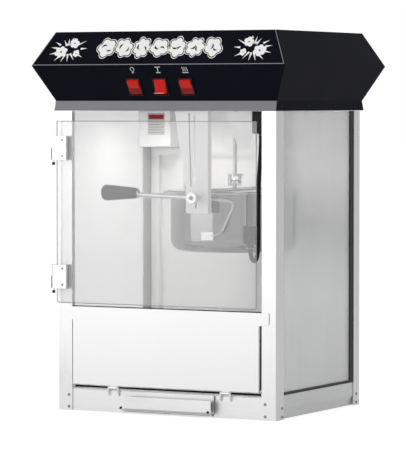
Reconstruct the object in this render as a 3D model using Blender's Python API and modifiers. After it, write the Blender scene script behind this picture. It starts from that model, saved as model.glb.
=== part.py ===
"""Countertop popcorn machine: glazed cabinet, black canopy, hanging kettle, hinged glass door.

Metres, +Z up. The origin is the centre of the footprint on the worktop, and the front faces -Y.
"""
import math

import bmesh
import bpy
from mathutils import Matrix, Vector

# ---------------------------------------------------------------- driving dimensions
WIDTH = 0.412               # cabinet, outside the corner posts
DEPTH = 0.321
HEIGHT = 0.640              # top of the canopy
SHEET = 0.0015              # cabinet sheet metal
THIN = 0.0012               # lighter sheet
GAP = 0.0003                # between pieces that touch
FLOOR_Z = 0.0381            # top of the cabinet floor
CEILING_Z = 0.5075          # underside of the ceiling plate

HALF_W = WIDTH / 2
HALF_D = DEPTH / 2
POST_TOP = CEILING_Z - 0.0005
POST_FACE = 0.026           # front and rear flanges of the corner posts
POST_SIDE_FRONT = 0.029
POST_SIDE_REAR = 0.0225
POST_LIP = 0.010            # the front posts' edge, folded back into the cabinet
INSET = 0.0004              # keeps joined bodies' faces apart
RAIL_TOP = 0.0365
SIDE_RAIL_TOP = 0.0396
SIDE_RAIL_BEND = 0.017
SIDE_RAIL_TUCK = 0.005
GLASS = 0.003
GLASS_X = 0.1975            # inner face of the side glass
REAR_Y = HALF_D - SHEET - GAP - SHEET   # inner face of the rear panel

# canopy: heights and how far each ring stands out past the cabinet
CANOPY_RINGS = ((0.508, 0.005), (0.524, 0.003), (0.583, 0.033), (HEIGHT, 0.003))
PANEL_TILT = math.radians(27)

# glass door and its hinges
DOOR_X = (-0.205, 0.1735)
DOOR_Y = (-0.1695, -0.1655)
DOOR_Z = (0.183, 0.490)
HINGE_AXIS = (-0.2125, -0.1665)
HINGE_Z = {"upper": (0.4242, 0.4645), "lower": (0.2070, 0.2473)}

# serving flap
FLAP_X = (-0.1775, 0.1755)
FLAP_Y = (-0.1623, -0.1611)
FLAP_Z = (0.0455, 0.1765)
FLAP_AXIS = (-0.1622, 0.0415)            # y, z
FLAP_TABS = ((-0.106, -0.091), (0.107, 0.1215))
FLAP_WINGS = (-0.1720, 0.1693)

# kernel tray
TRAY_X = (-0.0795, 0.0885)
TRAY_Y = (-0.1608, 0.1200)
TRAY_Z = (0.0035, 0.0330)
PULL_X = (-0.083, 0.092)

# kettle
KETTLE = Vector((0.045, 0.004, 0.0))
KETTLE_R = 0.1093
KETTLE_BOTTOM = 0.269
KETTLE_RIM = 0.3705
KETTLE_FLANGE_R = 0.121
KETTLE_CORNER = 0.020
POT_R = 0.1005
POT_FLOOR = 0.290
PIVOT_Z = 0.363
PIVOT_R = 0.004
HANGER_FRONT_Y = (-0.1285, -0.1270)
HANGER_REAR_Y = (0.1340, 0.1355)
HANDLE_Y = -0.148
LID_AXIS_X = 0.0158         # lid hinge, either side of the kettle's middle
LID_AXIS_Z = 0.3738
LID_R = 0.1145
DRIVE_Z = 0.3955            # lower end of the agitator drive
SHAFT_R = 0.0035

# lamp, through the ceiling beside the kettle
LAMP = Vector((-0.085, 0.0, 0.0))

# kettle cord, from its receptacle under the ceiling down, round and up into the kettle's plug
CORD_R = 0.00375
RECEPTACLE = Vector((0.148, -0.100, 0.4680))
PLUG = Vector((0.1225, -0.0875, 0.2790))

# switches on the front lower panel of the canopy
SWITCHES = {"light": (-0.049, 1), "motor": (0.0007, -1), "heat": (0.0495, 1)}
SWITCH_Z = 0.548
ROCKER_TILT = math.radians(11)
ROCKER_PIVOT = 0.004        # behind the panel's face
ROCKER_R = 0.0144           # round ends of the rocker, about its pivot


# ---------------------------------------------------------------- scene and materials
def clear_scene():
    for obj in list(bpy.data.objects):
        bpy.data.objects.remove(obj, do_unlink=True)


def new_collection(name):
    group = bpy.data.collections.new(name)
    bpy.context.scene.collection.children.link(group)
    return group


FINISHES = {
    "stainless": ((0.80, 0.81, 0.82), 0.28, 1.0),
    "bright_steel": ((0.86, 0.86, 0.87), 0.15, 1.0),
    "black_paint": ((0.012, 0.012, 0.018), 0.30, 0.0),
    "grey_trim": ((0.36, 0.36, 0.38), 0.35, 0.6),
    "glass": ((0.90, 0.93, 0.94), 0.04, 0.0),
    "gasket": ((0.03, 0.03, 0.03), 0.65, 0.0),
    "black_plastic": ((0.02, 0.02, 0.02), 0.42, 0.0),
    "red_rocker": ((0.75, 0.03, 0.02), 0.30, 0.0),
    "cord": ((0.02, 0.02, 0.02), 0.55, 0.0),
    "bulb": ((0.95, 0.93, 0.88), 0.20, 0.0),
    "galvanised": ((0.55, 0.56, 0.57), 0.45, 1.0),
}


def finish_material(node, finish):
    colour, roughness, metallic = FINISHES[finish]
    material = bpy.data.materials.new(node + "_" + finish)
    material.use_nodes = True
    shader = material.node_tree.nodes["Principled BSDF"]
    shader.inputs["Base Color"].default_value = (*colour, 1.0)
    shader.inputs["Roughness"].default_value = roughness
    shader.inputs["Metallic"].default_value = metallic
    return material


# ---------------------------------------------------------------- shapes
def add(name, mesh, finish):
    """A named piece, or a tool body for a Boolean where finish is None."""
    obj = bpy.data.objects.new(name, mesh)
    if finish:
        PARTS.objects.link(obj)
        mesh.materials.append(finish_material(name, finish))
        return obj
    TOOLS.objects.link(obj)
    obj.hide_render = True
    obj.display_type = "WIRE"
    return obj


def mesh_from(name, bm):
    mesh = bpy.data.meshes.new(name)
    bm.to_mesh(mesh)
    bm.free()
    return mesh


def box(name, low, high, finish=None):
    low, high = Vector(low), Vector(high)
    bm = bmesh.new()
    bmesh.ops.create_cube(bm, size=1.0)
    bmesh.ops.scale(bm, vec=high - low, verts=bm.verts)
    bmesh.ops.translate(bm, vec=(low + high) / 2, verts=bm.verts)
    return add(name, mesh_from(name, bm), finish)


def cylinder(name, start, end, radius, finish=None, end_radius=None, sides=24):
    """A round bar or a taper between two points."""
    start, end = Vector(start), Vector(end)
    bm = bmesh.new()
    bmesh.ops.create_cone(
        bm, cap_ends=True, segments=sides, radius1=radius,
        radius2=radius if end_radius is None else end_radius, depth=(end - start).length)
    turn = (end - start).to_track_quat("Z", "Y").to_matrix().to_4x4()
    bmesh.ops.transform(bm, matrix=Matrix.Translation((start + end) / 2) @ turn, verts=bm.verts)
    mesh = mesh_from(name, bm)
    round_shading(mesh)
    return add(name, mesh, finish)


def round_shading(mesh):
    mesh.shade_smooth()
    mesh.set_sharp_from_angle(angle=math.radians(35))


PLANES = {
    "XY": Matrix.Identity(4),
    "XZ": Matrix.Rotation(math.radians(90), 4, "X"),
    "YZ": Matrix(((0, 0, 1, 0), (1, 0, 0, 0), (0, 1, 0, 0), (0, 0, 0, 1))),
}


def plate(name, plane, span, outlines, finish=None):
    """Flat outlines in a plane, thickened along its normal from span[0] to span[1]. Inner
    outlines are holes."""
    curve = bpy.data.curves.new(name, "CURVE")
    curve.dimensions = "2D"
    curve.fill_mode = "BOTH"
    curve.extrude = (span[1] - span[0]) / 2
    for outline in outlines:
        spline = curve.splines.new("POLY")
        spline.points.add(len(outline) - 1)
        for point, (u, v) in zip(spline.points, outline):
            point.co = (u, v, 0.0, 1.0)
        spline.use_cyclic_u = True
    normal_middle = (span[0] + span[1]) / 2
    sign = -1 if plane == "XZ" else 1
    place = PLANES[plane] @ Matrix.Translation((0, 0, sign * normal_middle))
    return add(name, solid_from_curve(name, curve, place), finish)


def solid_from_curve(name, curve, place):
    """The curve's solid as a mesh in world space, with its caps welded on."""
    guide = bpy.data.objects.new(name + "_curve", curve)
    TOOLS.objects.link(guide)
    guide.matrix_world = place
    bpy.context.view_layer.update()
    evaluated = guide.evaluated_get(bpy.context.evaluated_depsgraph_get())
    mesh = bpy.data.meshes.new_from_object(evaluated)
    mesh.transform(place)
    bm = bmesh.new()
    bm.from_mesh(mesh)
    bmesh.ops.remove_doubles(bm, verts=bm.verts, dist=0.00001)
    bmesh.ops.recalc_face_normals(bm, faces=bm.faces)
    bm.to_mesh(mesh)
    bm.free()
    mesh.name = name
    bpy.data.objects.remove(guide, do_unlink=True)
    return mesh


def tube(name, points, radius, finish=None, resolution=2):
    curve = bpy.data.curves.new(name, "CURVE")
    curve.dimensions = "3D"
    curve.bevel_depth = radius
    curve.bevel_resolution = resolution
    curve.use_fill_caps = True
    spline = curve.splines.new("POLY")
    spline.points.add(len(points) - 1)
    for point, place in zip(spline.points, points):
        point.co = (*place, 1.0)
    mesh = solid_from_curve(name, curve, Matrix.Identity(4))
    round_shading(mesh)
    return add(name, mesh, finish)


def turned(name, profile, centre, finish=None, steps=48, closed=False):
    """A turned solid about a vertical axis. The profile's (radius, height) points run down
    the outer side."""
    mesh = bpy.data.meshes.new(name)
    edges = [(i, i + 1) for i in range(len(profile) - 1)]
    if closed:
        edges.append((len(profile) - 1, 0))
    mesh.from_pydata([(radius, 0.0, height) for radius, height in profile], edges, [])
    obj = add(name, mesh, finish)
    obj.location = centre
    screw = obj.modifiers.new("Turn", "SCREW")
    screw.steps = steps
    screw.render_steps = steps
    screw.use_merge_vertices = True
    screw.merge_threshold = 0.00001
    return obj


def join(obj, *others):
    for other in others:
        boolean(obj, other, "UNION")
    return obj


def cut(obj, *others):
    for other in others:
        boolean(obj, other, "DIFFERENCE")
    return obj


def boolean(obj, other, operation):
    modifier = obj.modifiers.new(other.name, "BOOLEAN")
    modifier.operation = operation
    modifier.object = other


def rectangle(left, right, low, high):
    return [(left, low), (right, low), (right, high), (left, high)]


def arc(centre, radius, start, end, count):
    """Points on a circular arc, angles in degrees."""
    angles = [math.radians(start + (end - start) * i / count) for i in range(count + 1)]
    return [(centre[0] + radius * math.cos(a), centre[1] + radius * math.sin(a)) for a in angles]


# ---------------------------------------------------------------- cabinet
def make_base():
    box("base_pan", (-0.1965, -0.1568, 0), (0.1965, 0.1568, SHEET), "galvanised")
    slots = [rectangle(x, x + 0.006, -0.060, 0.060) for x in (-0.062 + 0.019 * i for i in range(8))]
    floor_low = FLOOR_Z - THIN
    outline = rectangle(-HALF_W + 0.0036, HALF_W - 0.0036, -0.1587, 0.1568)
    plate("floor_deck", "XY", (floor_low, FLOOR_Z), [outline] + slots, "bright_steel")


def make_front_rail():
    """Front rail with the tray's mouth, and the lugs and rods that the flap turns on."""
    face = -HALF_D + SHEET + GAP
    outer = rectangle(-HALF_W + 0.0018, HALF_W - 0.0018, 0, RAIL_TOP)
    mouth = rectangle(TRAY_X[0] - 0.002, TRAY_X[1] + 0.002, 0.0025, 0.0345)
    rail = plate("front_rail", "XZ", (face, face + SHEET), [outer, mouth], "stainless")
    y, z = FLAP_AXIS
    side = [(face + 0.0008, 0.028), (face + 0.0008, 0.0362), (face - 0.0003, 0.0366),
            (face - 0.0003, 0.0438), (y - 0.0020, 0.0438), (y - 0.0020, 0.0360), (face - 0.0012, 0.028)]
    for left, right in FLAP_TABS:
        for x in (left - 0.0028, right + 0.0008):
            join(rail, plate("flap_lug", "YZ", (x, x + 0.0020), [side]))
        join(rail,
             cylinder("flap_rod", (left - 0.0015, y, z), (right + 0.0015, y, z), 0.0012, sides=12))


def make_other_rails():
    rear = (HALF_D - SHEET - GAP - SHEET, HALF_D - SHEET - GAP)
    plate("rear_rail", "XZ", rear, [rectangle(-HALF_W + 0.0018, HALF_W - 0.0018, 0, RAIL_TOP)],
          "stainless")
    outer = HALF_W - SHEET - GAP
    tucked = outer - SIDE_RAIL_TUCK
    for name, side in (("left", -1), ("right", 1)):
        outline = [(side * outer, SIDE_RAIL_TOP), (side * outer, SIDE_RAIL_BEND), (side * tucked, 0),
                   (side * (tucked - SHEET), 0), (side * (outer - SHEET), SIDE_RAIL_BEND),
                   (side * (outer - SHEET), SIDE_RAIL_TOP)]
        plate(name + "_rail", "XZ", (-HALF_D + 0.0036, HALF_D - 0.0036), [outline], "stainless")


def make_posts():
    for side_name, sx in (("left", -1), ("right", 1)):
        for end_name, sy, depth in (("front", -1, POST_SIDE_FRONT), ("rear", 1, POST_SIDE_REAR)):
            outline = [(HALF_W, HALF_D), (HALF_W - POST_FACE, HALF_D),
                       (HALF_W - POST_FACE, HALF_D - SHEET),
                       (HALF_W - SHEET, HALF_D - SHEET), (HALF_W - SHEET, HALF_D - depth),
                       (HALF_W, HALF_D - depth)]
            corner = [(sx * x, sy * y) for x, y in outline]
            post = plate("post_%s_%s" % (end_name, side_name), "XY", (0, POST_TOP), [corner],
                         "stainless")
            if end_name == "front":
                edges = sorted((sx * (HALF_W - POST_FACE + INSET),
                                sx * (HALF_W - POST_FACE + INSET + THIN)))
                lip = box("post_lip", (edges[0], -HALF_D + INSET, FLOOR_Z + 2 * INSET),
                          (edges[1], -HALF_D + POST_LIP, POST_TOP - INSET))
                join(post, lip)


def make_side_glazing():
    low, high = FLOOR_Z + 0.0004, POST_TOP
    for name, side in (("left", -1), ("right", 1)):
        inner, outer = side * GLASS_X, side * (GLASS_X + GLASS)
        box("side_glass_" + name, (min(inner, outer), -0.1565, low),
            (max(inner, outer), 0.1565, high), "glass")
        near, far = side * (GLASS_X + GLASS + GAP), side * (HALF_W - SHEET - GAP)
        strip = [(-0.1565, SIDE_RAIL_TOP + GAP), (0.1565, SIDE_RAIL_TOP + GAP), (0.1565, high),
                 (0.1290, high), (0.1290, 0.0440), (-0.1330, 0.0440), (-0.1330, high), (-0.1565, high)]
        plate("gasket_" + name, "YZ", (min(near, far), max(near, far)), [strip], "gasket")


def make_rear():
    side = HALF_W - 0.0036
    box("rear_panel", (-side, REAR_Y, FLOOR_Z + 0.0004), (side, REAR_Y + SHEET, POST_TOP),
        "bright_steel")
    out, inner, top = 0.1970, 0.1820, 0.441
    low = FLOOR_Z + 0.0004
    frame = [(-out, low), (-inner, low), (-inner, top - 0.013), (inner, top - 0.013), (inner, low),
             (out, low), (out, top), (-out, top)]
    plate("rear_frame", "XZ", (REAR_Y - 0.0103, REAR_Y - GAP), [frame], "bright_steel")
    wiring = box("wiring_box", (-0.1970, 0.1000, 0.4430), (-0.1330, REAR_Y - GAP, 0.5066), "stainless")
    round_edges(wiring, 0.0012)


def round_edges(obj, width, segments=2):
    bevel = obj.modifiers.new("Round", "BEVEL")
    bevel.width = width
    bevel.segments = segments
    bevel.limit_method = "ANGLE"
    bevel.angle_limit = math.radians(40)
    return obj


# ---------------------------------------------------------------- canopy
def ring_corners(height, overhang):
    x, y = HALF_W + overhang, HALF_D + overhang
    return [(-x, -y, height), (x, -y, height), (x, y, height), (-x, y, height)]


def make_canopy():
    """A shell of flat panels with an open bottom: skirt, leaning lower panels, leaning top."""
    corners = [corner for ring in CANOPY_RINGS for corner in ring_corners(*ring)]
    faces = [(4 * ring + i, 4 * ring + (i + 1) % 4, 4 * ring + 4 + (i + 1) % 4, 4 * ring + 4 + i)
             for ring in range(len(CANOPY_RINGS) - 1) for i in range(4)]
    last = 4 * (len(CANOPY_RINGS) - 1)
    faces.append((last, last + 1, last + 2, last + 3))
    mesh = bpy.data.meshes.new("canopy_shell")
    mesh.from_pydata(corners, [], faces)
    shell = add("canopy_shell", mesh, "black_paint")
    solidify = shell.modifiers.new("Sheet", "SOLIDIFY")
    solidify.thickness = THIN
    solidify.offset = -1.0
    solidify.use_even_offset = True
    for name, (x, _) in SWITCHES.items():
        cut(shell,
            on_panel(box("window_" + name, (-0.0122, -0.01, -0.0158), (0.0122, 0.01, 0.0158)), x))
    gland_place = rear_panel_place(0.150)
    bore = cylinder("gland_bore", (0, 0.01, 0), (0, -0.01, 0), 0.0080)
    bore.matrix_world = gland_place
    cut(shell, bore)
    gland = turned("cord_gland", [(0, 0.016), (0.0055, 0.016), (0.0090, 0.004), (0.0120, 0.004),
                                  (0.0120, 0.0003), (0.0075, 0.0003), (0.0075, -0.010), (0, -0.010)],
                   (0, 0, 0), "black_plastic", steps=20)
    gland.matrix_world = gland_place @ Matrix.Rotation(math.radians(90), 4, "X")


def lower_panel_y(height):
    """Outer face of the leaning lower panel at a height, measured out from the middle."""
    (low, near), (high, far) = CANOPY_RINGS[1], CANOPY_RINGS[2]
    return HALF_D + near + (far - near) * (height - low) / (high - low)


def on_panel(obj, x):
    """Places a piece built about (0, 0, 0), facing -Y, on the front lower panel."""
    obj.location = (x, -lower_panel_y(SWITCH_Z), SWITCH_Z)
    obj.rotation_euler.x = PANEL_TILT
    return obj


def rear_panel_place(x):
    turn = Matrix.Rotation(math.pi, 4, "Z") @ Matrix.Rotation(PANEL_TILT, 4, "X")
    return Matrix.Translation((x, lower_panel_y(SWITCH_Z), SWITCH_Z)) @ turn


def make_front_plates():
    (low, bottom), (high, top) = CANOPY_RINGS[0], CANOPY_RINGS[1]
    strip = [(-HALF_D - bottom - GAP, low), (-HALF_D - top - GAP, high), (-HALF_D - top - 0.0015, high),
             (-HALF_D - bottom - 0.0015, low)]
    half = HALF_W + top
    plate("front_trim", "YZ", (-half, half), [strip], "grey_trim")
    (ridge, out), (crown, back) = CANOPY_RINGS[2], CANOPY_RINGS[3]
    length = math.hypot(crown - ridge, out - back)
    lean = math.atan2(out - back, crown - ridge)
    edge = 0.0015
    slope = (HALF_W + out - edge, HALF_W + back - edge)
    face = [(-slope[0], edge), (slope[0], edge), (slope[1], length - edge), (-slope[1], length - edge)]
    sign = plate("sign_plate", "XZ", (-0.0015, -GAP), [face], "black_paint")
    sign.location = (0, -HALF_D - out, ridge)
    sign.rotation_euler.x = -lean


def make_switches():
    for name, (x, state) in SWITCHES.items():
        housing = box("switch_housing_" + name, (-0.0130, -0.0023, -0.0162), (0.0130, -GAP, 0.0162),
                      "black_plastic")
        body = box("switch_body", (-0.0118, -0.0010, -0.0154), (0.0118, 0.0180, 0.0154))
        pocket = box("switch_pocket", (-0.0107, -0.0100, -0.0148), (0.0107, 0.0140, 0.0148))
        cut(join(housing, body), pocket)
        on_panel(housing, x)
        for tool in (body, pocket):
            on_panel(tool, x)
        rocker = make_rocker("rocker_" + name)
        place = on_panel(rocker, x).location.copy()
        pivot = Matrix.Rotation(PANEL_TILT, 3, "X") @ Vector((0, ROCKER_PIVOT, 0))
        rocker.location = place + pivot
        rocker.rotation_euler.x = PANEL_TILT + state * ROCKER_TILT


def make_rocker(name):
    """A see-saw about its own pivot: round ends, and a face that is slightly hollow."""
    upper = arc((0, 0), ROCKER_R, 96, 124, 3)
    lower = [(u, -v) for u, v in reversed(upper)]
    outline = upper + [(-0.0071, 0.0)] + lower
    outline += [(0.0050, -0.0060), (0.0050, 0.0060)]
    return plate(name, "YZ", (-0.0103, 0.0103), [outline], "red_rocker")


def make_ceiling():
    inside_x = HALF_W + CANOPY_RINGS[0][1] - THIN - 0.0006
    inside_y = HALF_D + CANOPY_RINGS[0][1] - THIN - 0.0006
    outline = rectangle(-inside_x, inside_x, -inside_y, inside_y)
    shaft_hole = arc(KETTLE.xy, 0.006, 0, 360 - 360 / 16, 15)
    lamp_hole = arc(LAMP.xy, 0.028, 0, 360 - 360 / 32, 31)
    plate("ceiling_plate", "XY", (CEILING_Z, CEILING_Z + SHEET), [outline, shaft_hole, lamp_hole],
          "bright_steel")


def make_lamp():
    top = CEILING_Z + SHEET + GAP
    socket = box("lamp_socket", LAMP + Vector((-0.036, -0.012, top)),
                 LAMP + Vector((-0.0345, 0.012, 0.5760)), "galvanised")
    arm = box("lamp_arm", LAMP + Vector((-0.036, -0.012, 0.5745)),
              LAMP + Vector((0.014, 0.012, 0.5760)))
    cup = cylinder("lamp_cup", LAMP + Vector((0, 0, 0.5560)), LAMP + Vector((0, 0, 0.5750)), 0.0145)
    join(socket, arm, cup)
    crown = arc((0, 0.531), 0.0205, -90, 40, 9)
    profile = [(0, 0.5555), (0.0125, 0.5555), (0.0135, 0.545)] + crown[::-1]
    profile[-1] = (0, profile[-1][1])
    turned("lamp_bulb", profile, LAMP, "bulb", steps=24)


def make_motor():
    """Gear motor on the ceiling plate, with the drive shaft's blind bore."""
    top = CEILING_Z + SHEET + GAP
    motor = box("agitator_motor", KETTLE + Vector((-0.026, -0.026, top)),
                KETTLE + Vector((0.026, 0.040, 0.537)), "galvanised")
    can = cylinder("motor_can", KETTLE + Vector((0, 0.014, 0.536)),
                   KETTLE + Vector((0, 0.014, 0.580)), 0.024)
    bore = cylinder("motor_bore", KETTLE + Vector((0, 0, 0.500)), KETTLE + Vector((0, 0, 0.531)),
                    0.0041, sides=16)
    cut(join(motor, can), bore)
    shaft = cylinder("drive_shaft", KETTLE + Vector((0, 0, DRIVE_Z)), KETTLE + Vector((0, 0, 0.5305)),
                     SHAFT_R, "bright_steel", sides=16)
    arm = box("drive_dog", (0, -0.0015, DRIVE_Z), (0.0185, 0.0015, DRIVE_Z + 0.0035))
    arm.location = KETTLE
    arm.rotation_euler.z = math.radians(74)
    join(shaft, arm)


# ---------------------------------------------------------------- kettle and its hangers
def make_hangers():
    """Tapered plates from the ceiling to the kettle's pivots, the front one with a flange."""
    left_top, left_bottom, right = 0.0007, 0.0217, 0.0690
    outline = [(left_top, POST_TOP), (left_bottom, 0.3755)]
    outline += arc((left_bottom + 0.003, 0.3395), 0.003, 180, 270, 3)
    outline += [(right, 0.3365), (right, POST_TOP)]
    pivot_hole = arc((KETTLE.x, PIVOT_Z), PIVOT_R + 0.0004, 0, 360 - 360 / 20, 19)
    slit = rectangle(0.0362, 0.0392, 0.3825, 0.4990)
    front = plate("hanger_front", "XZ", HANGER_FRONT_Y, [outline, pivot_hole, slit], "stainless")
    inset = 0.0004
    top = POST_TOP - inset
    flange = box("hanger_flange", (right - SHEET - inset, HANGER_FRONT_Y[0] - 0.010, 0.3365 + inset),
                 (right - inset, HANGER_FRONT_Y[0] + 0.0006, top))
    foot = box("hanger_foot", (left_top + inset, HANGER_FRONT_Y[0] + inset, top - SHEET),
               (right - 0.004, HANGER_FRONT_Y[1] + 0.016, top))
    join(front, flange, foot)
    rear = plate("hanger_rear", "XZ", HANGER_REAR_Y, [outline, pivot_hole], "stainless")
    join(rear, box("hanger_foot_rear", (left_top + inset, HANGER_REAR_Y[0] - 0.016, top - SHEET),
                   (right - 0.004, HANGER_REAR_Y[1] - inset, top)))


def make_kettle_shell():
    sheet = 0.0015
    corner = (KETTLE_R - KETTLE_CORNER, KETTLE_BOTTOM + KETTLE_CORNER)
    top = KETTLE_RIM - 0.0037
    outer = arc(corner, KETTLE_CORNER, 0, -90, 5)
    inner = arc(corner, KETTLE_CORNER - sheet, -90, 0, 5)
    profile = [(0, KETTLE_BOTTOM + sheet)] + inner + [(KETTLE_R - sheet, top), (KETTLE_R, top)]
    profile += outer + [(0, KETTLE_BOTTOM)]
    turned("kettle_shell", profile, KETTLE, "bright_steel")
    cylinder("heater_plate", KETTLE + Vector((0, 0, 0.2815)), KETTLE + Vector((0, 0, 0.2895)), 0.090,
             "galvanised", sides=32)


def make_kettle_pot():
    sheet = 0.0012
    corner = 0.010
    centre = (POT_R - corner, POT_FLOOR + corner)
    inner = arc(centre, corner - sheet, -90, 0, 3)
    outer = arc(centre, corner, 0, -90, 3)
    lip = KETTLE_RIM - 0.0033
    profile = [(0, POT_FLOOR + sheet)] + inner + [(POT_R - sheet, KETTLE_RIM)]
    profile += [(KETTLE_FLANGE_R - 0.001, KETTLE_RIM), (KETTLE_FLANGE_R, KETTLE_RIM - 0.001),
                (KETTLE_FLANGE_R, lip + 0.001), (KETTLE_FLANGE_R - 0.001, lip), (POT_R, lip)]
    profile += outer + [(0, POT_FLOOR)]
    turned("kettle_pot", profile, KETTLE, "bright_steel")


def make_trunnions():
    """Pivot blocks on the shell's front and back, just under its rim."""
    x = KETTLE.x
    shell_front = KETTLE.y - KETTLE_R
    front = box("trunnion_front", (x - 0.011, -0.1150, 0.3450),
                (x + 0.011, shell_front - 0.0004, 0.3665), "bright_steel")
    pin = cylinder("pivot_pin", (x, -0.1540, PIVOT_Z), (x, -0.1140, PIVOT_Z), PIVOT_R, sides=20)
    hub = cylinder("handle_hub", (x, HANDLE_Y - 0.006, PIVOT_Z), (x, HANDLE_Y + 0.006, PIVOT_Z),
                   0.009, sides=24)
    collar = cylinder("crank_collar", (x, -0.1255, PIVOT_Z), (x, -0.1175, PIVOT_Z), 0.0060, sides=20)
    join(front, pin, hub, collar)
    shell_back = KETTLE.y + KETTLE_R
    rear = box("trunnion_rear", (x - 0.011, shell_back + 0.0004, 0.3450), (x + 0.011, 0.1240, 0.3665),
               "bright_steel")
    join(rear,
         cylinder("pivot_pin_rear", (x, 0.1230, PIVOT_Z), (x, 0.1400, PIVOT_Z), PIVOT_R, sides=20))


def make_handle():
    start = Vector((KETTLE.x - 0.0093, HANDLE_Y, PIVOT_Z + 0.0002))
    inner = Vector((-0.0610, HANDLE_Y, 0.3670))
    outer = Vector((-0.1260, HANDLE_Y, 0.3698))
    direction = (outer - inner).normalized()
    cylinder("handle_rod", start, inner + direction * 0.040, 0.0040, "bright_steel", sides=16)
    length = (outer - inner).length
    profile = [(0, length), (0.0105, length), (0.0135, length - 0.004), (0.0092, 0.002), (0.0080, 0),
               (0.0044, 0), (0.0044, 0.041), (0, 0.041)]
    grip = turned("handle_grip", profile, (0, 0, 0), "black_plastic", steps=24)
    turn = direction.to_track_quat("Z", "Y").to_matrix().to_4x4()
    grip.matrix_world = Matrix.Translation(inner) @ turn


def make_crank():
    """Bent rod from the pivot's collar to a lug low on the shell's front."""
    route = [(0.0525, -0.1215, 0.3610), (0.0950, -0.1215, 0.3578), (0.1040, -0.1215, 0.3562),
             (0.1070, -0.1210, 0.3530), (0.1065, -0.1202, 0.3480), (0.0835, -0.1130, 0.3100),
             (0.0810, -0.1115, 0.3068), (0.0760, -0.1100, 0.3035), (0.0600, -0.1090, 0.2990)]
    rod = tube("crank_rod", route, 0.0026, "bright_steel")
    lug = box("crank_lug", (0.0415, -0.1110, 0.2915), (0.0640, KETTLE.y - KETTLE_R - 0.0004, 0.3050))
    join(rod, lug)


def make_terminal():
    """Terminal box on the shell with the cord's connector below it."""
    outward = Vector((PLUG.x - KETTLE.x, PLUG.y - KETTLE.y, 0)).normalized()
    angle = math.atan2(outward.y, outward.x)
    housing = box("terminal_box", (KETTLE_R + 0.0010, -0.0110, 0.2850),
                  (KETTLE_R + 0.0100, 0.0110, 0.3150), "black_plastic")
    housing.location = KETTLE
    housing.rotation_euler.z = angle
    join(housing,
         cylinder("cord_plug", PLUG, PLUG + Vector((0, 0, 0.0260)), 0.0048, end_radius=0.0065, sides=20))


def make_bridge():
    """Fixed strip across the kettle's mouth that carries the agitator and both lids."""
    x, y = KETTLE.x, KETTLE.y
    low, high = KETTLE_RIM + GAP, KETTLE_RIM + GAP + THIN
    hole = arc((x, y), 0.0042, 0, 360 - 360 / 16, 15)
    outline = rectangle(x - 0.0130, x + 0.0130, y - 0.1160, y + 0.1160)
    bridge = plate("lid_bridge", "XY", (low, high), [outline, hole], "bright_steel")
    for side in (-1, 1):
        ear_y = y + side * 0.0990
        for edge in (-1, 1):
            axis_x = x + edge * LID_AXIS_X
            ear = box("bridge_ear",
                      (min(x + edge * 0.010, axis_x + edge * 0.0016), ear_y - 0.001, low + 0.0004),
                      (max(x + edge * 0.010, axis_x + edge * 0.0016), ear_y + 0.001,
                       LID_AXIS_Z + 0.0016))
            pin = cylinder("lid_pin", (axis_x, ear_y, LID_AXIS_Z),
                           (axis_x, ear_y - side * 0.004, LID_AXIS_Z), 0.0007, sides=8)
            join(bridge, ear, pin)


def make_lid(name, side):
    """Half lid, hinged beside the bridge, with a rolled edge and a lifting tab."""
    x, y = KETTLE.x, KETTLE.y
    near = LID_AXIS_X + 0.0004
    half_chord = 0.0970
    start = math.degrees(math.asin(half_chord / LID_R))
    rim = arc((0, 0), LID_R, -start, start, 20)
    outline = [(x + side * u, y + v) for u, v in [(near, -half_chord)] + rim + [(near, half_chord)]]
    low = KETTLE_RIM + 0.0008
    lid = plate(name, "XY", (low, low + THIN), [outline], "bright_steel")
    axis_x = x + side * LID_AXIS_X
    edge = cylinder("lid_roll", (axis_x, y - half_chord, LID_AXIS_Z),
                    (axis_x, y + half_chord, LID_AXIS_Z), 0.0018, sides=12)
    tab = box("lid_tab", (x + side * 0.090 - 0.0008, y - 0.012, low + 0.0006),
              (x + side * 0.090 + 0.0008, y + 0.012, low + 0.013))
    bore = cylinder("lid_bore", (axis_x, y - 0.1, LID_AXIS_Z), (axis_x, y + 0.1, LID_AXIS_Z), 0.0011,
                    sides=8)
    cut(join(lid, edge, tab), bore)


def make_stirrer():
    """Agitator: shaft, sweeping bar near the pot's floor, and the fork the drive's dog turns."""
    low = POT_FLOOR + THIN + 0.0010
    shaft = cylinder("stirrer", KETTLE + Vector((0, 0, low)), KETTLE + Vector((0, 0, 0.3840)), SHAFT_R,
                     "bright_steel", sides=16)
    bar = box("stirrer_bar", KETTLE + Vector((-0.0030, -0.0850, low + 0.0004)),
              KETTLE + Vector((0.0030, 0.0850, low + 0.0050)))
    fork = box("stirrer_fork", KETTLE + Vector((-0.0025, -0.0185, 0.3800)),
               KETTLE + Vector((0.0025, 0.0185, 0.3836)))
    join(shaft, bar, fork)
    for side in (-1, 1):
        prong = cylinder("stirrer_prong", KETTLE + Vector((0, side * 0.0185, 0.3800)),
                         KETTLE + Vector((0, side * 0.0185, 0.4000)), 0.0030, sides=12)
        join(shaft, prong)


# ---------------------------------------------------------------- receptacle and cord
def make_receptacle():
    x, y, z = RECEPTACLE
    socket = box("receptacle", (0.1280, -0.1120, 0.4700), (0.1580, -0.0880, 0.5066), "black_plastic")
    relief = cylinder("strain_relief", (x, y, z), (x, y, 0.4760), 0.0040, end_radius=0.0062, sides=20)
    join(round_edges(socket, 0.0012), relief)
    guard = [(0.0881, 0.5066), (0.0881, 0.5020), (0.1151, 0.4420), (0.1323, 0.4420), (0.1381, 0.4660),
             (0.1381, 0.5066)]
    plate("receptacle_guard", "XZ", (-0.1140, -0.1128), [guard], "stainless")


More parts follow.
